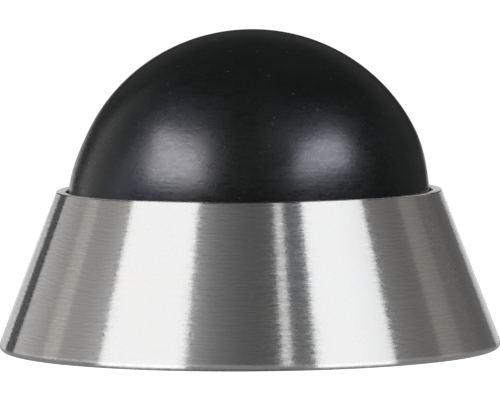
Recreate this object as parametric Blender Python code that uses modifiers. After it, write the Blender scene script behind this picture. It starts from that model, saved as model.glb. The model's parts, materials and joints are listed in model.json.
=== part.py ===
"""Surface-mounted door stop: a rubber dome in a turned steel skirt, on a screwed-down plate.

Metres, +Z up. The origin is the centre of the underside, and +Z runs out through the dome's top.
The skirt, the dome and the nut that holds them together are the head. It lifts off the mounting
plate along +Z once the grub screw at the back, +Y, is backed out.
"""

import math

import bmesh
import bpy
from mathutils import Matrix, Vector

MM = 0.001
GAP = 0.3 * MM  # between pieces that touch

# Skirt
BASE_RADIUS = 30.15 * MM
SKIRT_HEIGHT = 19.2 * MM
CONE_ANGLE = math.radians(20.7)  # of the outside, from the axis
BASE_FILLET = 0.7 * MM
RIM_FILLET = 0.25 * MM
LIP_FILLET = 0.2 * MM
LIP_BORE = 22.1 * MM  # radius of the pocket that holds the dome
WEB_TOP = 12.5 * MM
WEB_BOTTOM = 9.8 * MM
SKIRT_BORE = 23.9 * MM  # radius of the hollow that slides over the plate
BORE_FILLET = 0.4 * MM

# Rubber dome and its core
DOME_RADIUS = 21.8 * MM
DOME_RISE = 21.4 * MM
DOME_CENTRE = 17.1 * MM
DOME_FILLET = 0.8 * MM
DISC_RADIUS = 20.0 * MM
DISC_THICKNESS = 2.0 * MM
DISC_EDGE = 0.3 * MM
STUD_RADIUS = 4.0 * MM
STUD_HEAD_RADIUS = 7.0 * MM
STUD_HEAD_THICKNESS = 2.0 * MM
STUD_TIP = 0.8 * MM  # height of the stud's lower end above the wall
STUD_CHAMFER = 0.8 * MM

# M8 fasteners
WASHER_RADIUS = 8.0 * MM
WASHER_THICKNESS = 1.6 * MM
SPRING_RADIUS = 7.4 * MM
SPRING_THICKNESS = 2.0 * MM
SPRING_SLIT = 1.2 * MM
SPRING_SLANT = math.radians(25)
NUT_FLATS = 13.0 * MM
NUT_THICKNESS = 4.0 * MM
NUT_CHAMFER = 0.6 * MM
WASHER_EDGE = 0.15 * MM

# Mounting plate and gasket
GASKET_THICKNESS = 0.8 * MM
GASKET_INNER = 9.6 * MM
GASKET_OUTER = 22.6 * MM
PLATE_THICKNESS = 5.0 * MM
PLATE_INNER = 9.0 * MM
PLATE_CHAMFER = 0.5 * MM
HOLE_CIRCLE = 16.0 * MM  # radius of the circle of wall screws
HOLE_COUNT = 3
HOLE_RADIUS = 2.75 * MM
SINK_RADIUS = 5.2 * MM  # of the 90 degree countersink
GASKET_HOLE_RADIUS = 3.2 * MM
FIRST_HOLE = math.radians(90)

# Grub screw, M4 x 4
GRUB_RADIUS = 2.0 * MM
GRUB_LENGTH = 4.0 * MM
GRUB_HEIGHT = 3.9 * MM
GRUB_CHAMFER = 0.4 * MM
GRUB_POINT_RADIUS = 1.25 * MM
GRUB_CUP_DEPTH = 0.5 * MM
SOCKET_FLATS = 2.0 * MM
SOCKET_DEPTH = 2.0 * MM

# Facets round a full turn
SKIRT_STEPS = 72
DOME_STEPS = 64
DOME_RINGS = 12
PLATE_STEPS = 48
FASTENER_STEPS = 24
FILLET_STEP = math.radians(22)
COARSE_STEP = math.radians(45)
SMOOTH_ANGLE = math.radians(32)
MERGE = 0.00001
CUTTER_REACH = 3.0 * MM  # how far a cutter runs past the face that it opens

PLATE_BOTTOM = GASKET_THICKNESS + GAP
PLATE_TOP = PLATE_BOTTOM + PLATE_THICKNESS
PLATE_RADIUS = SKIRT_BORE - GAP
DOME_BOTTOM = WEB_TOP + GAP

BRUSHED_STEEL = ((0.62, 0.61, 0.60), 0.30, 1.0)
BLACK_RUBBER = ((0.016, 0.017, 0.018), 0.45, 0.0)
GREY_RUBBER = ((0.06, 0.06, 0.065), 0.75, 0.0)
ZINC_STEEL = ((0.56, 0.57, 0.58), 0.38, 1.0)
DARK_STEEL = ((0.09, 0.09, 0.095), 0.45, 1.0)


def clear_scene():
    for old in list(bpy.data.objects):
        bpy.data.objects.remove(old, do_unlink=True)


def new_collection(name):
    collection = bpy.data.collections.new(name)
    bpy.context.scene.collection.children.link(collection)
    return collection


def new_material(name, look):
    colour, roughness, metallic = look
    material = bpy.data.materials.new(name)
    material.use_nodes = True
    shader = material.node_tree.nodes["Principled BSDF"]
    shader.inputs["Base Color"].default_value = (*colour, 1.0)
    shader.inputs["Roughness"].default_value = roughness
    shader.inputs["Metallic"].default_value = metallic
    material.diffuse_color = (*colour, 1.0)
    return material


def rounded(corners, step_angle=FILLET_STEP):
    """Points of an outline whose corners are (radius, height, fillet); a sharp corner has no fillet."""
    points = []
    count = len(corners)
    for i, (x, z, fillet) in enumerate(corners):
        corner = Vector((x, z))
        if not fillet:
            points.append(corner)
            continue
        before = (Vector(corners[i - 1][:2]) - corner).normalized()
        after = (Vector(corners[(i + 1) % count][:2]) - corner).normalized()
        half = before.angle(after) / 2
        centre = corner + (before + after).normalized() * fillet / math.sin(half)
        start = corner + before * fillet / math.tan(half) - centre
        turn = start.angle_signed(corner + after * fillet / math.tan(half) - centre)
        steps = round(abs(turn) / step_angle)
        for step in range(steps + 1):
            # angle_signed is clockwise, and a 2D matrix turns anticlockwise
            points.append(centre + Matrix.Rotation(-turn * step / steps, 2) @ start)
    return points


def turned(name, outline, steps, collection, closed=True):
    """A solid of revolution about Z. The outline runs down its outer side; open ends lie on the axis."""
    mesh = bpy.data.meshes.new(name)
    shape = bmesh.new()
    points = [shape.verts.new((x, 0, z)) for x, z in outline]
    for start, end in zip(points, points[1:]):
        shape.edges.new((start, end))
    if closed:
        shape.edges.new((points[-1], points[0]))
    shape.to_mesh(mesh)
    shape.free()
    piece = bpy.data.objects.new(name, mesh)
    collection.objects.link(piece)
    screw = piece.modifiers.new("turn", "SCREW")
    screw.axis = "Z"
    screw.angle = math.tau
    screw.steps = screw.render_steps = steps
    screw.use_merge_vertices = True
    screw.merge_threshold = MERGE
    screw.use_smooth_shade = True
    return piece


def hexagon(name, flats, low, high, collection):
    """A six-sided prism about Z."""
    mesh = bpy.data.meshes.new(name)
    shape = bmesh.new()
    corner = flats / 2 / math.cos(math.radians(30))
    bmesh.ops.create_cone(
        shape, cap_ends=True, segments=6, radius1=corner, radius2=corner, depth=high - low
    )
    bmesh.ops.translate(shape, verts=shape.verts, vec=(0, 0, (low + high) / 2))
    shape.to_mesh(mesh)
    shape.free()
    piece = bpy.data.objects.new(name, mesh)
    collection.objects.link(piece)
    return piece


def hide_cutter(cutter):
    cutter.hide_render = True
    cutter.display_type = "WIRE"
    return cutter


def combine(piece, cutter, operation):
    boolean = piece.modifiers.new(cutter.name, "BOOLEAN")
    boolean.operation = operation
    boolean.solver = "EXACT"
    boolean.object = hide_cutter(cutter)


def finish(piece, material, parent=None):
    """Applies the modifiers, shades round faces smooth, and sets the material and parent."""
    bpy.context.view_layer.update()
    evaluated = piece.evaluated_get(bpy.context.evaluated_depsgraph_get())
    mesh = bpy.data.meshes.new_from_object(evaluated)
    piece.modifiers.clear()
    piece.data = mesh
    mesh.name = piece.name
    mesh.shade_smooth()
    mesh.set_sharp_from_angle(angle=SMOOTH_ANGLE)
    mesh.materials.clear()
    mesh.materials.append(material)
    piece.parent = parent


def around(radius, angle, height=0.0):
    return Vector((radius * math.cos(angle), radius * math.sin(angle), height))


def skirt_foot_radius():
    """Where the cone would meet the underside if its rounded edge still reaches BASE_RADIUS."""
    sine, cosine = math.sin(CONE_ANGLE), math.cos(CONE_ANGLE)
    return BASE_RADIUS + BASE_FILLET * (1 + sine - cosine) / cosine


def grub_cutter(collection):
    """The tapped hole through the back of the skirt."""
    radius = GRUB_RADIUS + GAP
    low, high = SKIRT_BORE - CUTTER_REACH, BASE_RADIUS + CUTTER_REACH
    cutter = turned(
        "grub_hole", [(0, high), (radius, high), (radius, low), (0, low)], FASTENER_STEPS, collection, False
    )
    cutter.rotation_euler = (-math.pi / 2, 0, 0)
    cutter.location = (0, 0, GRUB_HEIGHT)
    return cutter


def make_skirt(parts, cutters):
    foot = skirt_foot_radius()
    rim = foot - SKIRT_HEIGHT * math.tan(CONE_ANGLE)
    stud_hole = STUD_RADIUS + GAP
    outline = rounded([
        (rim, SKIRT_HEIGHT, RIM_FILLET),
        (foot, 0, BASE_FILLET),
        (SKIRT_BORE, 0, BORE_FILLET),
        (SKIRT_BORE, WEB_BOTTOM, BORE_FILLET),
        (stud_hole, WEB_BOTTOM, 0),
        (stud_hole, WEB_TOP, 0),
        (LIP_BORE, WEB_TOP, 0),
        (LIP_BORE, SKIRT_HEIGHT, LIP_FILLET),
    ])
    skirt = turned("skirt", outline, SKIRT_STEPS, parts)
    combine(skirt, grub_cutter(cutters), "DIFFERENCE")
    return skirt


def make_dome(parts):
    """The hemisphere on a short cylinder, with a recess for the disc and the stud's head."""
    recess, roof = DISC_RADIUS + GAP, DOME_BOTTOM + DISC_THICKNESS + GAP
    head_recess = STUD_HEAD_RADIUS + GAP
    head_roof = roof + STUD_HEAD_THICKNESS + GAP
    cap = [(0, DOME_CENTRE + DOME_RISE)]
    for ring in range(1, DOME_RINGS):
        angle = math.pi / 2 * (1 - ring / DOME_RINGS)
        cap.append((DOME_RADIUS * math.cos(angle), DOME_CENTRE + DOME_RISE * math.sin(angle)))
    foot = rounded([
        (DOME_RADIUS, DOME_CENTRE, 0),
        (DOME_RADIUS, DOME_BOTTOM, DOME_FILLET),
        (recess, DOME_BOTTOM, 0),
        (recess, roof, 0),
        (head_recess, roof, 0),
        (head_recess, head_roof, 0),
        (0, head_roof, 0),
    ])
    return turned("rubber_dome", cap + foot, DOME_STEPS, parts, closed=False)


def ring_outline(outer, inner, top, bottom, edge):
    corners = [(outer, top, edge), (outer, bottom, edge), (inner, bottom, 0), (inner, top, 0)]
    return rounded(corners, COARSE_STEP)


def make_core_disc(parts):
    outline = ring_outline(
        DISC_RADIUS, STUD_RADIUS + GAP, DOME_BOTTOM + DISC_THICKNESS, DOME_BOTTOM, DISC_EDGE
    )
    return turned("core_disc", outline, PLATE_STEPS, parts)


def make_core_stud(parts):
    seat = DOME_BOTTOM + DISC_THICKNESS + GAP
    top = seat + STUD_HEAD_THICKNESS
    outline = [
        (0, top),
        (STUD_HEAD_RADIUS, top),
        (STUD_HEAD_RADIUS, seat),
        (STUD_RADIUS, seat),
        (STUD_RADIUS, STUD_TIP + STUD_CHAMFER),
        (STUD_RADIUS - STUD_CHAMFER, STUD_TIP),
        (0, STUD_TIP),
    ]
    return turned("core_stud", outline, FASTENER_STEPS, parts, closed=False)


def make_flat_washer(top, parts):
    outline = ring_outline(WASHER_RADIUS, STUD_RADIUS + GAP, top, top - WASHER_THICKNESS, WASHER_EDGE)
    return turned("flat_washer", outline, FASTENER_STEPS, parts)


def make_spring_washer(top, parts, cutters):
    """A flat ring with one slanted slit."""
    bottom = top - SPRING_THICKNESS
    outline = ring_outline(SPRING_RADIUS, STUD_RADIUS + GAP, top, bottom, WASHER_EDGE)
    washer = turned("spring_washer", outline, FASTENER_STEPS, parts)
    mesh = bpy.data.meshes.new("spring_slit")
    shape = bmesh.new()
    size = (SPRING_RADIUS * 2, SPRING_SLIT, SPRING_THICKNESS * 3)
    bmesh.ops.create_cube(shape, matrix=Matrix.Diagonal((*size, 1)))
    shape.to_mesh(mesh)
    shape.free()
    slit = bpy.data.objects.new("spring_slit", mesh)
    cutters.objects.link(slit)
    slit.location = (SPRING_RADIUS, 0, (top + bottom) / 2)
    slit.rotation_euler = (SPRING_SLANT, 0, 0)
    combine(washer, slit, "DIFFERENCE")
    return washer


def make_hex_nut(top, parts, cutters):
    """A hexagon, rounded off at its corners and bored by a turned ring."""
    bottom = top - NUT_THICKNESS
    corner = NUT_FLATS / 2 / math.cos(math.radians(30))
    inner = STUD_RADIUS + GAP
    past = NUT_CHAMFER
    ring = turned(
        "nut_ring",
        [
            (corner - 2 * past, top + past / 2),
            (corner + past, top - past),
            (corner + past, bottom + past),
            (corner - 2 * past, bottom - past / 2),
            (inner, bottom - past / 2),
            (inner, top + past / 2),
        ],
        FASTENER_STEPS,
        cutters,
    )
    nut = hexagon("hex_nut", NUT_FLATS, bottom, top, parts)
    combine(nut, ring, "INTERSECT")
    return nut


def screw_places():
    return [around(HOLE_CIRCLE, FIRST_HOLE + math.tau * i / HOLE_COUNT) for i in range(HOLE_COUNT)]


def make_mounting_plate(parts, cutters):
    edge = PLATE_CHAMFER
    outline = [
        (PLATE_RADIUS - edge, PLATE_TOP),
        (PLATE_RADIUS, PLATE_TOP - edge),
        (PLATE_RADIUS, PLATE_BOTTOM),
        (PLATE_INNER, PLATE_BOTTOM),
        (PLATE_INNER, PLATE_TOP),
    ]
    plate = turned("mounting_plate", outline, PLATE_STEPS, parts)
    wide = SINK_RADIUS + CUTTER_REACH
    cone_foot = PLATE_TOP - (SINK_RADIUS - HOLE_RADIUS)
    low = PLATE_BOTTOM - CUTTER_REACH
    sink = [
        (0, PLATE_TOP + CUTTER_REACH),
        (wide, PLATE_TOP + CUTTER_REACH),
        (HOLE_RADIUS, cone_foot),
        (HOLE_RADIUS, low),
        (0, low),
    ]
    for i, place in enumerate(screw_places()):
        cutter = turned(f"screw_hole_{i + 1}", sink, FASTENER_STEPS, cutters, closed=False)
        cutter.location = place
        combine(plate, cutter, "DIFFERENCE")
    return plate


def make_gasket(parts, cutters):
    outline = ring_outline(GASKET_OUTER, GASKET_INNER, GASKET_THICKNESS, 0, 0)
    gasket = turned("gasket", outline, PLATE_STEPS, parts)
    high, low = GASKET_THICKNESS + CUTTER_REACH, -CUTTER_REACH
    radius = GASKET_HOLE_RADIUS
    for i, place in enumerate(screw_places()):
        outline = [(0, high), (radius, high), (radius, low), (0, low)]
        cutter = turned(f"gasket_hole_{i + 1}", outline, FASTENER_STEPS, cutters, closed=False)
        cutter.location = place
        combine(gasket, cutter, "DIFFERENCE")
    return gasket


def make_grub_screw(parts, cutters):
    """Its own Z runs outwards from the cup point, which stands at its origin."""
    edge = GRUB_CHAMFER
    outline = [
        (0, GRUB_LENGTH),
        (GRUB_RADIUS - edge, GRUB_LENGTH),
        (GRUB_RADIUS, GRUB_LENGTH - edge),
        (GRUB_RADIUS, GRUB_RADIUS - GRUB_POINT_RADIUS),
        (GRUB_POINT_RADIUS, 0),
        (0, GRUB_CUP_DEPTH),
    ]
    screw = turned("grub_screw", outline, FASTENER_STEPS, parts, closed=False)
    socket = hexagon(
        "grub_socket", SOCKET_FLATS, GRUB_LENGTH - SOCKET_DEPTH, GRUB_LENGTH + CUTTER_REACH, cutters
    )
    combine(screw, socket, "DIFFERENCE")
    for piece in (screw, socket):
        piece.rotation_euler = (-math.pi / 2, 0, 0)
        piece.location = (0, SKIRT_BORE, GRUB_HEIGHT)
    return screw


def main():
    clear_scene()
    parts = new_collection("door_stop")
    cutters = new_collection("cutters")
    steel = new_material("brushed_steel", BRUSHED_STEEL)
    black = new_material("black_rubber", BLACK_RUBBER)
    grey = new_material("grey_rubber", GREY_RUBBER)
    zinc = new_material("zinc_steel", ZINC_STEEL)
    dark = new_material("dark_steel", DARK_STEEL)

    head = bpy.data.objects.new("head", None)
    parts.objects.link(head)

    washer_top = WEB_BOTTOM - GAP
    spring_top = washer_top - WASHER_THICKNESS - GAP
    nut_top = spring_top - SPRING_THICKNESS - GAP

    finish(make_skirt(parts, cutters), steel, head)
    finish(make_dome(parts), black, head)
    finish(make_core_disc(parts), zinc, head)
    finish(make_core_stud(parts), zinc, head)
    finish(make_flat_washer(washer_top, parts), zinc, head)
    finish(make_spring_washer(spring_top, parts, cutters), zinc, head)
    finish(make_hex_nut(nut_top, parts, cutters), zinc, head)
    finish(make_grub_screw(parts, cutters), dark, head)
    finish(make_mounting_plate(parts, cutters), zinc)
    finish(make_gasket(parts, cutters), grey)


main()
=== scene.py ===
"""Looks, light and camera for the door stop: a rubber dome in a conical brushed steel skirt.

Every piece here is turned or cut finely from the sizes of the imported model, rides on its body and
stands for its plain CAD node. Metres, +Z up.
"""
import json
import math

import bmesh
import bpy
from mathutils import Matrix, Vector

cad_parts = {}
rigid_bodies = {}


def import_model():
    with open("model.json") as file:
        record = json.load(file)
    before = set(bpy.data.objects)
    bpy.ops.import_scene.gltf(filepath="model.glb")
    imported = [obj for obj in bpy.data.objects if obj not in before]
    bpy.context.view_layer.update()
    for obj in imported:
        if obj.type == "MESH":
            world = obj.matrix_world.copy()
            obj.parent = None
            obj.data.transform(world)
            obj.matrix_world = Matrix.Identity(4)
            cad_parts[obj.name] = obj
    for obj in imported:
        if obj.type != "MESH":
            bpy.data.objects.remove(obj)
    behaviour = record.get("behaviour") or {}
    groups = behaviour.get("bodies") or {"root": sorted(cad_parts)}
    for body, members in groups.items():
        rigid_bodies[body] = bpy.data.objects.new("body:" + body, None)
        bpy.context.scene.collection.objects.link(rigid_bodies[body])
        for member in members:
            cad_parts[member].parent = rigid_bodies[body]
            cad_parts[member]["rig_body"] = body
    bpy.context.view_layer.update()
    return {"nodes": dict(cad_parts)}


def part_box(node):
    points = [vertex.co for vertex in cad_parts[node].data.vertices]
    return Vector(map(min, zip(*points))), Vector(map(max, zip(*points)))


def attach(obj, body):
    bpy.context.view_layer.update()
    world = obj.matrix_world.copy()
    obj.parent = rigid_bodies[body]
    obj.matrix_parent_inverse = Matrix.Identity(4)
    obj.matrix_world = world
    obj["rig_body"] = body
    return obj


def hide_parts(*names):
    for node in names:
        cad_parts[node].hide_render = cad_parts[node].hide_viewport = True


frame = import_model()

MM = 0.001
CAD_GAP = 0.3 * MM       # what the CAD solids leave between neighbours
CLOSE_UP = 0.2 * MM      # how much of that gap a fastener takes up here
BOND_GAP = 0.05 * MM     # between the rubber and the metal that it is bonded to
SMALL_EDGE = 0.15 * MM   # the broken edges of cut and punched metal

# ---------------------------------------------------------------- sizes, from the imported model
SKIRT_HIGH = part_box("skirt")[1]
DOME_LOW, DOME_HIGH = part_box("rubber_dome")
DISC_LOW, DISC_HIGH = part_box("core_disc")
STUD_LOW, STUD_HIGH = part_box("core_stud")
WASHER_LOW, WASHER_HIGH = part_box("flat_washer")
SPRING_LOW, SPRING_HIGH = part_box("spring_washer")
NUT_LOW, NUT_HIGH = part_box("hex_nut")
PLATE_LOW, PLATE_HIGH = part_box("mounting_plate")
GASKET_LOW, GASKET_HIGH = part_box("gasket")
GRUB_LOW, GRUB_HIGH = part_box("grub_screw")

BASE_RADIUS = SKIRT_HIGH.x
SKIRT_TOP = SKIRT_HIGH.z
CONE_ANGLE = math.radians(20.7)
BASE_FILLET = 0.7 * MM
RIM_FILLET = 0.25 * MM
LIP_FILLET = 0.2 * MM
LIP_BORE = 22.1 * MM
WEB_TOP = DISC_LOW.z - CAD_GAP
WEB_BOTTOM = WASHER_HIGH.z + CAD_GAP
SKIRT_BORE = GRUB_LOW.y
BORE_FILLET = 0.4 * MM
STUD_HOLE = 4.3 * MM

DOME_RADIUS = DOME_HIGH.x
DOME_TOP = DOME_HIGH.z
DOME_CENTRE = 17.1 * MM
DOME_FILLET = 0.8 * MM
DOME_LEAN = 0.37 * MM
DOME_RINGS = 60

CORE_EDGE = 0.25 * MM

STUD_RADIUS = 4.0 * MM
STUD_HEAD_RADIUS = STUD_HIGH.x
STUD_HEAD_THICKNESS = 2.0 * MM
STUD_CHAMFER = 0.9 * MM
M8_PITCH = 1.25 * MM
M8_DEPTH = 0.68 * MM
FASTENER_BORE = STUD_RADIUS + 0.12 * MM
WASHER_BORE = FASTENER_BORE + 0.15 * MM
SPRING_EDGE = 0.18 * MM
SPRING_SLIT = 1.2 * MM
SPRING_SLANT = math.radians(25)
NUT_FACE_SHARE = 0.95    # the round chamfered face, as a share of the width across flats
NUT_CHAMFER = math.radians(30)
NUT_SINK = 0.5 * MM

PLATE_RADIUS = PLATE_HIGH.x
PLATE_INNER = 9.0 * MM
PLATE_CHAMFER = 0.5 * MM
HOLE_CIRCLE = 16.0 * MM
HOLE_COUNT = 3
HOLE_RADIUS = 2.75 * MM
SINK_RADIUS = 5.2 * MM
GASKET_HOLE_RADIUS = 3.2 * MM
GASKET_INNER = 9.6 * MM
GASKET_EDGE = 0.1 * MM
GASKET_SEAT = 0.02 * MM

GRUB_RADIUS = GRUB_HIGH.x
GRUB_HEIGHT = (GRUB_LOW.z + GRUB_HIGH.z) / 2
GRUB_HOLE = 2.12 * MM
GRUB_CHAMFER = 0.45 * MM
SOCKET_FLATS = 2.0 * MM
SOCKET_DEPTH = 2.0 * MM
CUP_RADIUS = 1.1 * MM
CUP_DEPTH = 0.5 * MM
M4_PITCH = 0.7 * MM
M4_DEPTH = 0.4 * MM

ROUND_STEPS = 256
SMALL_STEPS = 96
THREAD_ROWS = 8          # rows of faces in one turn of a thread
SHARP_ANGLE = math.radians(30)
FILLET_STEP = math.radians(9)
PLATE_STEP = math.radians(20)
SPRING_STEP = math.radians(30)
ON_AXIS = 1e-9
SAME_POINT = 1e-7
NO_LENGTH = 1e-8

# ---------------------------------------------------------------- camera
CAMERA_BACK = 752 * MM
CAMERA_HEIGHT = 68.7 * MM
CAMERA_PITCH = 0.0674
CAMERA_ROLL = -0.0064
CAMERA_LENS = 451
CAMERA_SENSOR = 36
CAMERA_SHIFT = 0.0019


# ---------------------------------------------------------------- mesh helpers
def link(name, shape):
    """A new object from a bmesh, which is freed."""
    mesh = bpy.data.meshes.new(name)
    shape.to_mesh(mesh)
    shape.free()
    piece = bpy.data.objects.new(name, mesh)
    bpy.context.scene.collection.objects.link(piece)
    return piece


def rounded(corners, step_angle=FILLET_STEP):
    """Outline points through (radius, height, fillet) corners, each rounded to its fillet."""
    points = []
    for i, (x, z, fillet) in enumerate(corners):
        corner = Vector((x, z))
        if not fillet:
            points.append(corner)
            continue
        before = (Vector(corners[i - 1][:2]) - corner).normalized()
        after = (Vector(corners[(i + 1) % len(corners)][:2]) - corner).normalized()
        half = before.angle(after) / 2
        centre = corner + (before + after).normalized() * fillet / math.sin(half)
        start = corner + before * fillet / math.tan(half) - centre
        turn = start.angle_signed(corner + after * fillet / math.tan(half) - centre)
        steps = max(2, round(abs(turn) / step_angle))
        for step in range(steps + 1):
            points.append(centre + Matrix.Rotation(-turn * step / steps, 2) @ start)
    return points


def round_point(radius, turn, height):
    return (radius * math.cos(turn), radius * math.sin(turn), height)


def lathe(name, outline, steps=ROUND_STEPS, closed=True):
    """A turned solid about Z. The outline runs down its outer side; open ends lie on the axis."""
    shape = bmesh.new()
    rings = []
    for radius, height in outline:
        if radius < ON_AXIS:
            rings.append([shape.verts.new((0, 0, height))])
            continue
        turns = [math.tau * i / steps for i in range(steps)]
        rings.append([shape.verts.new(round_point(radius, turn, height)) for turn in turns])
    pairs = list(zip(rings, rings[1:]))
    if closed:
        pairs.append((rings[-1], rings[0]))
    for upper, lower in pairs:
        for i in range(steps):
            j = i + 1
            corners = [
                upper[i % len(upper)],
                lower[i % len(lower)],
                lower[j % len(lower)],
                upper[j % len(upper)],
            ]
            shape.faces.new(list(dict.fromkeys(corners)))
    return link(name, shape)


def corner_radius(flats):
    """How far a hexagon's corners lie from its middle."""
    return flats / 2 / math.cos(math.radians(30))


def hexagon(name, flats, low, high):
    """A hexagonal prism about Z, with two corners on the Y axis."""
    shape = bmesh.new()
    corner = corner_radius(flats)
    bmesh.ops.create_cone(
        shape, cap_ends=True, segments=6, radius1=corner, radius2=corner, depth=high - low
    )
    bmesh.ops.translate(shape, verts=shape.verts, vec=(0, 0, (low + high) / 2))
    return link(name, shape)


def threaded(name, radius, pitch, depth, low, high, chamfer):
    """A threaded rod about Z with chamfered ends. Its grid is sheared: rows follow the helix."""
    steps = SMALL_STEPS
    steepness, flat_crest = 1.6, 0.3
    shape = bmesh.new()
    rows = math.ceil((high - low) / pitch + 1) * THREAD_ROWS
    grid = []
    for row in range(-THREAD_ROWS, rows + 1):
        ring = []
        for i in range(steps):
            climb = pitch * i / steps
            height = min(max(low + pitch * row / THREAD_ROWS + climb, low), high)
            phase = ((height - low - climb) / pitch) % 1.0
            flank = min(max(abs(phase * 2 - 1) * steepness - flat_crest, 0.0), 1.0)
            reach = radius - depth * flank
            reach = min(reach, radius - chamfer + min(height - low, high - height))
            ring.append(shape.verts.new(round_point(reach, math.tau * i / steps, height)))
        grid.append(ring)
    for row, (lower, upper) in enumerate(zip(grid, grid[1:])):
        for i in range(steps - 1):
            shape.faces.new((lower[i], lower[i + 1], upper[i + 1], upper[i]))
        # one turn on, a row lies a whole pitch higher
        ahead = row + THREAD_ROWS
        if ahead + 1 < len(grid):
            shape.faces.new((lower[-1], grid[ahead][0], grid[ahead + 1][0], upper[-1]))
    bmesh.ops.remove_doubles(shape, verts=shape.verts, dist=SAME_POINT)
    bmesh.ops.dissolve_degenerate(shape, dist=NO_LENGTH, edges=shape.edges)
    bmesh.ops.holes_fill(shape, edges=[e for e in shape.edges if e.is_boundary])
    bmesh.ops.recalc_face_normals(shape, faces=shape.faces)
    return link(name, shape)


def washer_outline(outer, inner, low, high, edge, step_angle=FILLET_STEP):
    corners = [(outer, high, edge), (outer, low, edge), (inner, low, edge), (inner, high, edge)]
    return rounded(corners, step_angle)


def split_ring(name, outer, inner, low, high, slit, slant):
    """A spring washer: a rectangular section swept round, with slanted ends that leave a slit."""
    section = washer_outline(outer, inner, low, high, SPRING_EDGE, SPRING_STEP)
    middle, centre = (low + high) / 2, (outer + inner) / 2
    shape = bmesh.new()
    rings = []
    for i in range(SMALL_STEPS + 1):
        along = i / SMALL_STEPS
        ring = []
        for radius, height in section:
            lean = (height - middle) * math.tan(slant) / centre
            turn = lean + (slit / centre) * (0.5 - along) + math.tau * along
            ring.append(shape.verts.new(round_point(radius, turn, height)))
        rings.append(ring)
    for first, second in zip(rings, rings[1:]):
        for k in range(len(section)):
            m = (k + 1) % len(section)
            shape.faces.new((first[k], first[m], second[m], second[k]))
    shape.faces.new(rings[0])
    shape.faces.new(list(reversed(rings[-1])))
    bmesh.ops.recalc_face_normals(shape, faces=shape.faces)
    return link(name, shape)


def carve(piece, cutter, operation="DIFFERENCE"):
    """Applies a Boolean with the cutter, and removes the cutter."""
    bpy.context.view_layer.update()
    boolean = piece.modifiers.new("carve", "BOOLEAN")
    boolean.operation = operation
    boolean.solver = "EXACT"
    boolean.object = cutter
    bpy.context.view_layer.update()
    evaluated = piece.evaluated_get(bpy.context.evaluated_depsgraph_get())
    mesh = bpy.data.meshes.new_from_object(evaluated)
    piece.modifiers.clear()
    piece.data = mesh
    mesh.name = piece.name
    bpy.data.objects.remove(cutter)


def place(piece, node, material):
    """Shades the piece, gives it its material, and puts it in its node's stead on the same body."""
    mesh = piece.data
    mesh.shade_smooth()
    mesh.set_sharp_from_angle(angle=SHARP_ANGLE)
    mesh.materials.clear()
    mesh.materials.append(material)
    weighted = piece.modifiers.new("weighted normals", "WEIGHTED_NORMAL")
    weighted.keep_sharp = True
    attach(piece, frame["nodes"][node]["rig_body"])
    lit_as = "lit_as_rubber" if node == "rubber_dome" else "lit_as_steel"
    receivers(lit_as).objects.link(piece)
    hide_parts(node)


# ---------------------------------------------------------------- material helpers
MIDDLE = (0.35, 0.65)    # most of a noise's values
WIDE = (0.3, 0.7)        # nearly all of them
UPPER = (0.35, 0.7)


class Graph:
    """Adds nodes to a material or world by name, setting or linking their inputs."""

    def __init__(self, owner):
        owner.use_nodes = True
        self.tree = owner.node_tree
        self.tree.nodes.clear()

    def add(self, kind, inputs=(), output=0, **settings):
        node = self.tree.nodes.new(kind)
        for name, value in settings.items():
            setattr(node, name, value)
        for name, value in dict(inputs).items():
            socket = node.inputs[name]
            if isinstance(value, bpy.types.NodeSocket):
                self.tree.links.new(value, socket)
            else:
                socket.default_value = value
        return node.outputs[output] if node.outputs else None

    def math(self, operation, first, second):
        return self.add("ShaderNodeMath", {0: first, 1: second}, operation=operation)

    def mixed(self, first, share, second):
        """first times share, plus second times the rest."""
        rest = self.math("MULTIPLY", second, 1 - share)
        return self.math("ADD", self.math("MULTIPLY", first, share), rest)

    def stretched(self, scale):
        """Object coordinates times a scale for each axis."""
        place = self.add("ShaderNodeTexCoord", output=3)
        return self.add("ShaderNodeVectorMath", {0: place, 1: scale}, operation="MULTIPLY")

    def brushed(self, along, across):
        """Coordinates for marks that run round the axis, on a cone, a wall or a flat face alike."""
        place = self.add("ShaderNodeTexCoord", output=3)
        parts = self.tree.nodes.new("ShaderNodeSeparateXYZ")
        self.tree.links.new(place, parts.inputs[0])
        x, y, z = parts.outputs
        flat = self.add("ShaderNodeCombineXYZ", {0: x, 1: y})
        radius = self.add("ShaderNodeVectorMath", {0: flat}, output=1, operation="LENGTH")
        travel = self.math("MULTIPLY", self.math("SUBTRACT", z, radius), across)
        spread = self.add("ShaderNodeCombineXYZ", {
            0: self.math("MULTIPLY", x, along), 1: self.math("MULTIPLY", y, along), 2: travel,
        })
        return spread

    def noise(self, place, detail=2.0, rough=0.5):
        """Noise at given coordinates, or at object coordinates times a scale for each axis.

        A scale is about the number of its features in a metre.
        """
        if isinstance(place, tuple):
            place = self.stretched(place)
        names = {"Vector": place, "Scale": 1.0, "Detail": detail, "Roughness": rough}
        return self.add("ShaderNodeTexNoise", names)

    def remap(self, value, low, high, to_low, to_high):
        """Stretches low to high over to_low to to_high, and holds the ends beyond them."""
        span = {"From Min": low, "From Max": high, "To Min": to_low, "To Max": to_high}
        return self.add("ShaderNodeMapRange", {"Value": value, **span})

    def blend(self, factor, first, second):
        """A colour between two, each a tuple or a socket."""
        names = {"Factor": factor, 6: first, 7: second}
        return self.add("ShaderNodeMix", names, output=2, data_type="RGBA")

    def bump(self, height, distance, strength=1.0, below=None):
        names = {"Height": height, "Distance": distance, "Strength": strength}
        if below:
            names["Normal"] = below
        return self.add("ShaderNodeBump", names)

    def finish(self, inputs):
        shader = self.add("ShaderNodeBsdfPrincipled", inputs)
        self.add("ShaderNodeOutputMaterial", {"Surface": shader})


def colour(red, green, blue):
    return (red, green, blue, 1.0)


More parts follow.
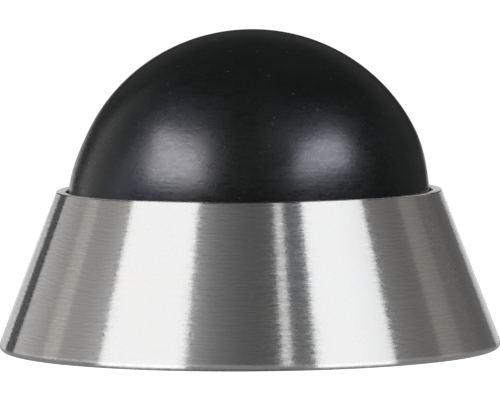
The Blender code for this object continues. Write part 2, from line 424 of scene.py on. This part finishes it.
def brushed_steel():
    """Stainless steel brushed round the axis: long fine lines, short scratches and a fine grain.

    The lines are cut into the surface, so they move a reflection's edge more than they shade it.
    The grain is in the roughness. Rougher grains would look duller, and a lighter shade makes up
    for that.
    """
    material = bpy.data.materials.new("skirt_brushed_steel")
    g = Graph(material)
    long_lines = g.noise(g.brushed(150, 2600), 1.0, 0.5)
    scratches = g.noise(g.brushed(480, 3000), 1.0, 0.5)
    grain = g.noise(g.brushed(1700, 2600), 1.0, 0.5)
    patches = g.noise(g.brushed(110, 420), 2.0, 0.5)
    specks = g.noise((2900, 2900, 2900), 0.0, 0.5)

    lines = g.mixed(long_lines, 0.25, scratches)
    cool, neutral = colour(0.582, 0.583, 0.585), colour(0.598, 0.598, 0.599)
    warm = colour(0.599, 0.587, 0.575)
    plain = g.blend(g.remap(lines, *MIDDLE, 0.0, 1.0), cool, neutral)
    tinted = g.blend(g.remap(patches, *MIDDLE, 0.0, 0.5), plain, warm)
    gain = g.remap(grain, *WIDE, 0.982, 1.018)
    body = g.add("ShaderNodeVectorMath", {0: tinted, 1: gain}, operation="MULTIPLY")

    grainy = g.remap(grain, *WIDE, 0.16, 0.255)
    rough = g.math("ADD", grainy, g.remap(lines, 0.38, 0.62, -0.015, 0.04))
    lines_low = g.bump(lines, 0.021 * MM)
    specks_low = g.bump(specks, 0.0009 * MM, below=lines_low)
    turn = g.add("ShaderNodeTangent", direction_type="RADIAL", axis="Z")
    g.finish({
        "Base Color": body, "Metallic": 1.0, "Roughness": rough, "Anisotropic": 1.0,
        "Anisotropic Rotation": 0.25, "Tangent": turn, "Normal": specks_low,
    })
    return material


def black_rubber():
    """Satin moulded rubber, with streaks round it and a grain, mostly in its gloss, and dust."""
    material = bpy.data.materials.new("dome_black_rubber")
    g = Graph(material)
    streak = g.noise((300, 300, 2500), 2.0, 0.6)
    grain = g.noise((1400, 1400, 1900), 2.0, 0.7)
    scuff = g.noise((170, 170, 240), 4.0, 0.6)
    dust = g.noise((2300, 2300, 2300), 1.0, 0.5)

    black, worn = colour(0.0038, 0.0045, 0.0034), colour(0.0060, 0.0067, 0.0057)
    shade = g.blend(g.remap(scuff, *UPPER, 0.0, 1.0), black, worn)
    dusty = g.remap(dust, 0.74, 0.79, 0.0, 0.5)
    body = g.blend(dusty, shade, colour(0.11, 0.11, 0.12))

    fine = g.mixed(grain, 0.6, streak)
    worn_rough = g.remap(scuff, *WIDE, 0.25, 0.31)
    rough = g.math("ADD", worn_rough, g.remap(fine, *MIDDLE, -0.04, 0.04))
    g.finish({
        "Base Color": body, "Roughness": rough, "IOR": 1.5, "Normal": g.bump(fine, 0.03 * MM, 0.8),
    })
    return material


def zinc_steel():
    """Zinc-plated steel: dull, faintly blue and cloudy, with turning marks."""
    material = bpy.data.materials.new("zinc_plated_steel")
    g = Graph(material)
    cloud = g.noise((260, 260, 260), 4.0, 0.6)
    marks = g.noise(g.brushed(150, 2600), 2.0, 0.6)
    blueish, pale = colour(0.50, 0.515, 0.535), colour(0.64, 0.64, 0.63)
    body = g.blend(g.remap(cloud, *MIDDLE, 0.0, 1.0), blueish, pale)
    cloudy = g.remap(cloud, *WIDE, 0.28, 0.42)
    rough = g.math("ADD", cloudy, g.remap(marks, *WIDE, -0.04, 0.04))
    relief = g.bump(g.mixed(marks, 0.5, cloud), 0.01 * MM, 0.7)
    g.finish({"Base Color": body, "Metallic": 1.0, "Roughness": rough, "Normal": relief})
    return material


def black_oxide():
    """Blackened, oiled steel, with paler worn patches."""
    material = bpy.data.materials.new("grub_black_oxide")
    g = Graph(material)
    cloud = g.noise((900, 900, 900), 3.0, 0.6)
    black, worn = colour(0.055, 0.055, 0.06), colour(0.12, 0.115, 0.11)
    body = g.blend(g.remap(cloud, *UPPER, 0.0, 1.0), black, worn)
    rough = g.remap(cloud, *WIDE, 0.3, 0.45)
    relief = g.bump(cloud, 0.008 * MM, 0.6)
    g.finish({"Base Color": body, "Metallic": 1.0, "Roughness": rough, "Normal": relief})
    return material


def gasket_rubber():
    """Matt grey-black sheet rubber with a fine cloth-like grain."""
    material = bpy.data.materials.new("gasket_sheet_rubber")
    g = Graph(material)
    grain = g.noise((2200, 2200, 2200), 3.0, 0.65)
    dust = g.noise((140, 140, 140), 4.0, 0.6)
    black, dusty = colour(0.035, 0.035, 0.038), colour(0.06, 0.06, 0.062)
    body = g.blend(g.remap(dust, *UPPER, 0.0, 1.0), black, dusty)
    rough = g.remap(grain, *WIDE, 0.65, 0.85)
    relief = g.bump(grain, 0.03 * MM, 0.8)
    g.finish({"Base Color": body, "Roughness": rough, "IOR": 1.5, "Normal": relief})
    return material


# ---------------------------------------------------------------- pieces
def turned_cutter(outline):
    """A turned solid for a Boolean. The outline's ends lie on the axis."""
    return lathe("cutter", outline, SMALL_STEPS, False)


def bore_cutter(radius, low, high):
    return turned_cutter([(0, high), (radius, high), (radius, low), (0, low)])


def skirt_foot():
    """The radius where the cone would meet the underside without its rounded edge."""
    sine, cosine = math.sin(CONE_ANGLE), math.cos(CONE_ANGLE)
    return BASE_RADIUS + BASE_FILLET * (1 + sine - cosine) / cosine


def towards_back(piece):
    """Turns a piece built along Z so that it lies along +Y at the grub screw's height."""
    tip = Matrix.Rotation(-math.pi / 2, 4, "X")
    piece.matrix_world = Matrix.Translation((0, 0, GRUB_HEIGHT)) @ tip


def make_skirt(material):
    foot = skirt_foot()
    rim = foot - SKIRT_TOP * math.tan(CONE_ANGLE)
    outline = rounded([
        (rim, SKIRT_TOP, RIM_FILLET),
        (foot, 0, BASE_FILLET),
        (SKIRT_BORE, 0, BORE_FILLET),
        (SKIRT_BORE, WEB_BOTTOM, BORE_FILLET),
        (STUD_HOLE, WEB_BOTTOM, SMALL_EDGE),
        (STUD_HOLE, WEB_TOP, SMALL_EDGE),
        (LIP_BORE, WEB_TOP, BORE_FILLET),
        (LIP_BORE, SKIRT_TOP, LIP_FILLET),
    ])
    skirt = lathe("skirt_turned", outline)
    past = 4.0 * MM
    hole = bore_cutter(GRUB_HOLE, SKIRT_BORE - past, BASE_RADIUS + past)
    towards_back(hole)
    carve(skirt, hole)
    place(skirt, "skirt", material)


def make_dome(material):
    outline = [(0, DOME_TOP)]
    for ring in range(1, DOME_RINGS):
        angle = math.pi / 2 * (1 - ring / DOME_RINGS)
        rise = (DOME_TOP - DOME_CENTRE) * math.sin(angle)
        outline.append((DOME_RADIUS * math.cos(angle), DOME_CENTRE + rise))
    recess = DISC_HIGH.x + BOND_GAP
    recess_roof = DISC_HIGH.z + BOND_GAP
    head = STUD_HEAD_RADIUS + BOND_GAP
    head_roof = STUD_HIGH.z + BOND_GAP
    outline += rounded([
        (DOME_RADIUS, DOME_CENTRE, 0),
        (DOME_RADIUS, DOME_LOW.z, DOME_FILLET),
        (recess, DOME_LOW.z, 0),
        (recess, recess_roof, 0),
        (head, recess_roof, 0),
        (head, head_roof, 0),
        (0, head_roof, 0),
    ])
    dome = lathe("dome_moulded", outline, closed=False)
    # the soft dome leans a little to +X, more and more over its first third above the skirt's lip
    for vertex in dome.data.vertices:
        rise = min(max((vertex.co.z - SKIRT_TOP) / (DOME_RADIUS / 3), 0.0), 1.0)
        vertex.co.x += DOME_LEAN * rise * rise * (3 - 2 * rise)
    place(dome, "rubber_dome", material)


def make_core(material):
    outline = washer_outline(DISC_HIGH.x, STUD_HOLE, DISC_LOW.z, DISC_HIGH.z, CORE_EDGE)
    place(lathe("core_disc_pressed", outline), "core_disc", material)

    seat = STUD_HIGH.z - STUD_HEAD_THICKNESS
    rod_top = seat + 0.5 * MM    # sunk into the head
    rod = threaded(
        "stud_threaded", STUD_RADIUS, M8_PITCH, M8_DEPTH, STUD_LOW.z, rod_top, STUD_CHAMFER
    )
    head_side = rounded([
        (STUD_HEAD_RADIUS, STUD_HIGH.z, CORE_EDGE),
        (STUD_HEAD_RADIUS, seat, CORE_EDGE),
        (0, seat, 0),
    ])
    head = turned_cutter([(0, STUD_HIGH.z), *head_side[:-1], (0, seat)])
    carve(rod, head, "UNION")
    place(rod, "core_stud", material)


def make_fasteners(material):
    flat = washer_outline(
        WASHER_HIGH.x, WASHER_BORE, WASHER_LOW.z, WASHER_HIGH.z + CLOSE_UP, SMALL_EDGE
    )
    place(lathe("flat_washer_punched", flat, SMALL_STEPS), "flat_washer", material)

    spring = split_ring(
        "spring_washer_split", SPRING_HIGH.x, FASTENER_BORE, SPRING_LOW.z,
        SPRING_HIGH.z + CLOSE_UP, SPRING_SLIT, SPRING_SLANT,
    )
    place(spring, "spring_washer", material)

    # the nut is a hexagon cut down to a ring with conical ends and a countersunk bore
    flats = NUT_HIGH.x - NUT_LOW.x
    corner = corner_radius(flats)
    low, high = NUT_LOW.z, NUT_HIGH.z + CLOSE_UP
    face = flats / 2 * NUT_FACE_SHARE
    past = 0.3 * MM
    drop = (corner - face) * math.tan(NUT_CHAMFER)
    past_drop = past * math.tan(NUT_CHAMFER)
    ring = lathe("cutter", [
        (face, high),
        (corner + past, high - drop - past_drop),
        (corner + past, low + drop + past_drop),
        (face, low),
        (FASTENER_BORE + NUT_SINK, low),
        (FASTENER_BORE, low + NUT_SINK),
        (FASTENER_BORE, high - NUT_SINK),
        (FASTENER_BORE + NUT_SINK, high),
    ], SMALL_STEPS)
    nut = hexagon("hex_nut_chamfered", flats, low - past, high + past)
    carve(nut, ring, "INTERSECT")
    place(nut, "hex_nut", material)


def screw_places():
    """The middles of the wall screws' holes, the first at the back."""
    turns = [math.radians(90) + math.tau * i / HOLE_COUNT for i in range(HOLE_COUNT)]
    return [Vector(round_point(HOLE_CIRCLE, turn, 0)) for turn in turns]


def make_plate(material):
    outline = rounded([
        (PLATE_RADIUS - PLATE_CHAMFER, PLATE_HIGH.z, SMALL_EDGE),
        (PLATE_RADIUS, PLATE_HIGH.z - PLATE_CHAMFER, SMALL_EDGE),
        (PLATE_RADIUS, PLATE_LOW.z, SMALL_EDGE),
        (PLATE_INNER, PLATE_LOW.z, SMALL_EDGE),
        (PLATE_INNER, PLATE_HIGH.z, SMALL_EDGE),
    ], PLATE_STEP)
    plate = lathe("mounting_plate_turned", outline)
    past = 1.0 * MM
    for spot in screw_places():
        countersink = turned_cutter([
            (0, PLATE_HIGH.z + past),
            (SINK_RADIUS + past, PLATE_HIGH.z + past),
            (HOLE_RADIUS, PLATE_HIGH.z - (SINK_RADIUS - HOLE_RADIUS)),
            (HOLE_RADIUS, PLATE_LOW.z - past),
            (0, PLATE_LOW.z - past),
        ])
        countersink.location = spot
        carve(plate, countersink)
    place(plate, "mounting_plate", material)


def make_gasket(material):
    top = PLATE_LOW.z - GASKET_SEAT
    outline = washer_outline(GASKET_HIGH.x, GASKET_INNER, GASKET_LOW.z, top, GASKET_EDGE)
    gasket = lathe("gasket_cut", outline)
    below, above = -1.0 * MM, 2.0 * MM
    for spot in screw_places():
        hole = bore_cutter(GASKET_HOLE_RADIUS, below, above)
        hole.location = spot
        carve(gasket, hole)
    place(gasket, "gasket", material)


def make_grub(material):
    tip, end = GRUB_LOW.y, GRUB_HIGH.y
    screw = threaded(
        "grub_screw_threaded", GRUB_RADIUS, M4_PITCH, M4_DEPTH, tip, end, GRUB_CHAMFER
    )
    past = 1.0 * MM
    carve(screw, hexagon("cutter", SOCKET_FLATS, end - SOCKET_DEPTH, end + past))
    below_tip = tip - 0.05 * MM
    carve(screw, turned_cutter([(0, tip + CUP_DEPTH), (CUP_RADIUS, below_tip), (0, below_tip)]))
    towards_back(screw)
    place(screw, "grub_screw", material)


# ---------------------------------------------------------------- studio
STUDIO_RADIUS = 0.9
EYE_RISE = math.atan2(CAMERA_HEIGHT - SKIRT_TOP / 2, CAMERA_BACK)
CARD_ROWS = 16
CARD_COLUMN = 2          # degrees
FEWEST_COLUMNS = 4
FLOOR_REACH = 6.0
FLOOR_DROP = 0.02 * MM   # keeps the floor clear of the faces that stand on it


def receivers(name):
    """A collection of the pieces that a card shines on."""
    return bpy.data.collections.get(name) or bpy.data.collections.new(name)


def seen_on_skirt(turn, lift):
    """The direction that a brush line on the skirt reflects to the camera.

    turn is the place round the skirt, from the front, positive to the right. A brush line spreads
    light into a whole fan, and lift is the angle in that fan above level.
    """
    outward = Vector((math.sin(turn), -math.cos(turn), 0))
    along = Vector((math.cos(turn), math.sin(turn), 0))
    side = math.cos(EYE_RISE) * math.sin(turn)
    fan = math.cos(lift) * outward + math.sin(lift) * Vector((0, 0, 1))
    return side * along + math.sqrt(1 - side * side) * fan


def heading(turn, lift):
    """The direction at turn round from the front, positive to the right, and lift above level."""
    reach = math.cos(lift)
    return Vector((reach * math.sin(turn), -reach * math.cos(turn), math.sin(lift)))


def between(values, share):
    """Reads evenly spaced values at a share of the way along them."""
    place = share * (len(values) - 1)
    i = min(int(place), len(values) - 2)
    return values[i] + (values[i + 1] - values[i]) * (place - i)


def card(
    name, way, turns, lifts, lights,
    warmth=(0, 0), tint=(1, 1, 1), fade=(1, 1), lean=(0, 0), steel=False,
):
    """A glowing curved card. It spans two turns and two lifts, in degrees, in directions from way.

    lights are its brightnesses from left to right and warmth how far each is from neutral. fade
    multiplies them from bottom to top. lean is how far each upper corner is turned, in degrees.
    Cards are clear, so where they overlap their light adds up. A card shines on the steel if way
    is seen_on_skirt or steel is true, and otherwise on the rubber.
    """
    columns = max(FEWEST_COLUMNS, round(abs(turns[1] - turns[0]) / CARD_COLUMN))
    shape = bmesh.new()
    layer = shape.loops.layers.float_color.new("glow")
    grid = []
    glow = {}
    for i in range(columns + 1):
        across = i / columns
        column = []
        for j in range(CARD_ROWS + 1):
            up = j / CARD_ROWS
            turn = math.radians(between(turns, across) + between(lean, across) * up)
            spot = shape.verts.new(way(turn, math.radians(between(lifts, up))) * STUDIO_RADIUS)
            light = between(lights, across) * between(fade, up)
            warm = between(warmth, across)
            red, green, blue = (light * share for share in tint)
            glow[spot] = colour(red * (1 + warm), green, blue * (1 - warm))
            column.append(spot)
        grid.append(column)
    for first, second in zip(grid, grid[1:]):
        for j in range(CARD_ROWS):
            face = shape.faces.new((first[j], second[j], second[j + 1], first[j + 1]))
            for loop in face.loops:
                loop[layer] = glow[loop.vert]
    piece = link("card_" + name, shape)
    material = bpy.data.materials.new("card_" + name)
    g = Graph(material)
    shade = g.add("ShaderNodeAttribute", attribute_name="glow")
    light = g.add("ShaderNodeEmission", {"Color": shade, "Strength": 1.0})
    clear = g.add("ShaderNodeBsdfTransparent")
    both = g.add("ShaderNodeAddShader", {0: light, 1: clear})
    g.add("ShaderNodeOutputMaterial", {"Surface": both})
    piece.data.materials.append(material)
    piece.visible_camera = False
    piece.visible_shadow = False
    seen_by = "lit_as_steel" if steel or way is seen_on_skirt else "lit_as_rubber"
    piece.light_linking.receiver_collection = receivers(seen_by)


def make_studio():
    """Softboxes at either side, a narrow strip light between them, grey walls and a pale backdrop.

    The skirt and the dome have cards of their own, because the two differ so much in what they
    reflect: the skirt spreads a card over its whole height, and the dome shows its outline.
    """
    wall = (-12, 70)
    wall_fade = (1.9, 1.9, 1.45, 0.35, 0.1)
    box = (-60, 105)
    backdrop = (-25, 30)

    def skirt_card(name, turns, lifts, lights, warmth=(0, 0), fade=(1, 1)):
        card(name, seen_on_skirt, turns, lifts, lights, warmth, fade=fade)

    def wall_card(name, turns, lights, warmth=(0, 0)):
        skirt_card(name, turns, wall, lights, warmth, wall_fade)

    skirt_card("backdrop_left", (-89, -75.4), backdrop, (1.03, 0.93, 0.575, 0.72, 0.82))
    wall_card("strip_far_left", (-74.4, -70.5), (0.047, 0.047))
    wall_card("wall_left", (-68.8, -36.6), (0.44, 0.385, 0.32, 0.33, 0.35, 0.40),
              (0.0, 0.03, 0.055, 0.06, 0.035, 0.0))
    wall_card("sill_left", (-54.6, -49.0), (0.11, 0.16), (0.05, 0.05))
    wall_card("cool_left", (-42, -36.6), (0.0, 0.08))
    skirt_card("box_left", (-36.1, -14.5), box, (1.46, 1.46))
    wall_card("front_left", (-14.3, 6.8), (0.39, 0.19, 0.11, 0.073, 0.103),
              (0.0, 0.01, 0.02, 0.03, 0.03))
    skirt_card("strip", (7.1, 9.4), wall, (1.02, 1.02))
    wall_card("front_right", (9.6, 14.9), (0.13, 0.158), (-0.03, -0.03))
    skirt_card("box_right", (14.9, 34.5), box, (1.46, 1.45, 1.32), (-0.005, -0.01))
    wall_card("wall_right", (35, 76.8), (0.215, 0.131, 0.138, 0.107, 0.064, 0.08),
              (0.0, 0.08, 0.085, 0.085, 0.05, 0.01))
    wall_card("sill_right", (48.5, 57.0), (0.10, 0.05), (0.08, 0.08))
    skirt_card("backdrop_right", (77.2, 89), backdrop, (0.535, 0.71, 0.92))

    card("floor_glow", heading, (-180, 180), (-75, -5), (0.28, 0.28), steel=True)
    card("rim_glow", heading, (168, 192), (0, 20), (0.55, 0.55), steel=True)
    card("ceiling_behind", heading, (140, 220), (22, 60), (0.5, 0.8, 0.5), steel=True)

    def dome_card(name, turns, lifts, lights, **finish):
        card(name, heading, turns, lifts, lights, **finish)

    lilac = (0.8, 0.8, 1.35)
    dome_card("dome_box_left", (-70, -29), (20.5, 43.5), (8.5, 10.2),
              tint=(0.97, 0.97, 1.03), lean=(-15, -11))
    dome_card("dome_halo_left", (-98, -38), (-2, 60), (0.5, 0.4), tint=lilac)
    dome_card("dome_box_right", (29, 69), (21.5, 42.5), (8.0, 7.4),
              tint=(0.96, 0.96, 1.13), lean=(13, 7))
    dome_card("dome_halo_right", (34, 78), (14, 58), (0.45, 0.32), tint=lilac)
    dome_card("dome_patch", (10, 30), (36, 60), (0.35, 0.35))
    dome_card("dome_wall_left", (-137, -84), (-5, 45), (0.95, 0.45, 0.36, 0.37),
              fade=(1, 1, 0.78, 0.35, 0.22))
    dome_card("dome_wall_right", (100, 152), (-5, 30), (0.045, 0.05))
    dome_card("dome_backdrop_left", (-180, -156.5), (-14, 6), (1.5, 1.5), fade=(1, 1, 0.4))
    dome_card("dome_backdrop_right", (163, 180), (-14, 2), (0.9, 0.9))
    dome_card("dome_backdrop_top", (150, 210), (15, 34), (0.05, 0.05))


def make_floor():
    """A white floor with a glow of its own, which the steel and the rubber don't reflect."""
    shape = bmesh.new()
    bmesh.ops.create_grid(shape, x_segments=1, y_segments=1, size=FLOOR_REACH)
    floor = link("floor", shape)
    floor.location.z = -FLOOR_DROP
    material = bpy.data.materials.new("pale_floor")
    g = Graph(material)
    g.finish({
        "Base Color": colour(0.85, 0.85, 0.85), "Roughness": 0.7,
        "Emission Color": colour(1, 1, 1), "Emission Strength": 1.0,
    })
    floor.data.materials.append(material)
    floor.visible_glossy = False


def make_world():
    """White where the camera sees it, and nearly dark to everything else."""
    world = bpy.data.worlds.new("studio")
    bpy.context.scene.world = world
    g = Graph(world)
    ray = g.add("ShaderNodeLightPath", output=0)
    shade = g.blend(ray, colour(0.05, 0.05, 0.052), colour(1, 1, 1))
    sky = g.add("ShaderNodeBackground", {"Color": shade, "Strength": 1.0})
    g.add("ShaderNodeOutputWorld", {"Surface": sky})


def make_camera():
    """In front of the object, a little above it and looking slightly down."""
    camera = bpy.data.objects.new("camera", bpy.data.cameras.new("camera"))
    bpy.context.scene.collection.objects.link(camera)
    camera.data.lens = CAMERA_LENS
    camera.data.sensor_width = CAMERA_SENSOR
    camera.data.shift_x = CAMERA_SHIFT
    camera.location = (0, -CAMERA_BACK, CAMERA_HEIGHT)
    tip = Matrix.Rotation(math.pi / 2 - CAMERA_PITCH, 3, "X")
    camera.rotation_euler = (tip @ Matrix.Rotation(CAMERA_ROLL, 3, "Z")).to_euler()
    bpy.context.scene.camera = camera


# ---------------------------------------------------------------- the picture
make_camera()
make_world()
make_floor()
make_studio()

STEEL = brushed_steel()
RUBBER = black_rubber()
ZINC = zinc_steel()
make_skirt(STEEL)
make_dome(RUBBER)
make_core(ZINC)
make_fasteners(ZINC)
make_plate(ZINC)
make_gasket(gasket_rubber())
make_grub(black_oxide())

bpy.context.scene.view_settings.view_transform = "Standard"
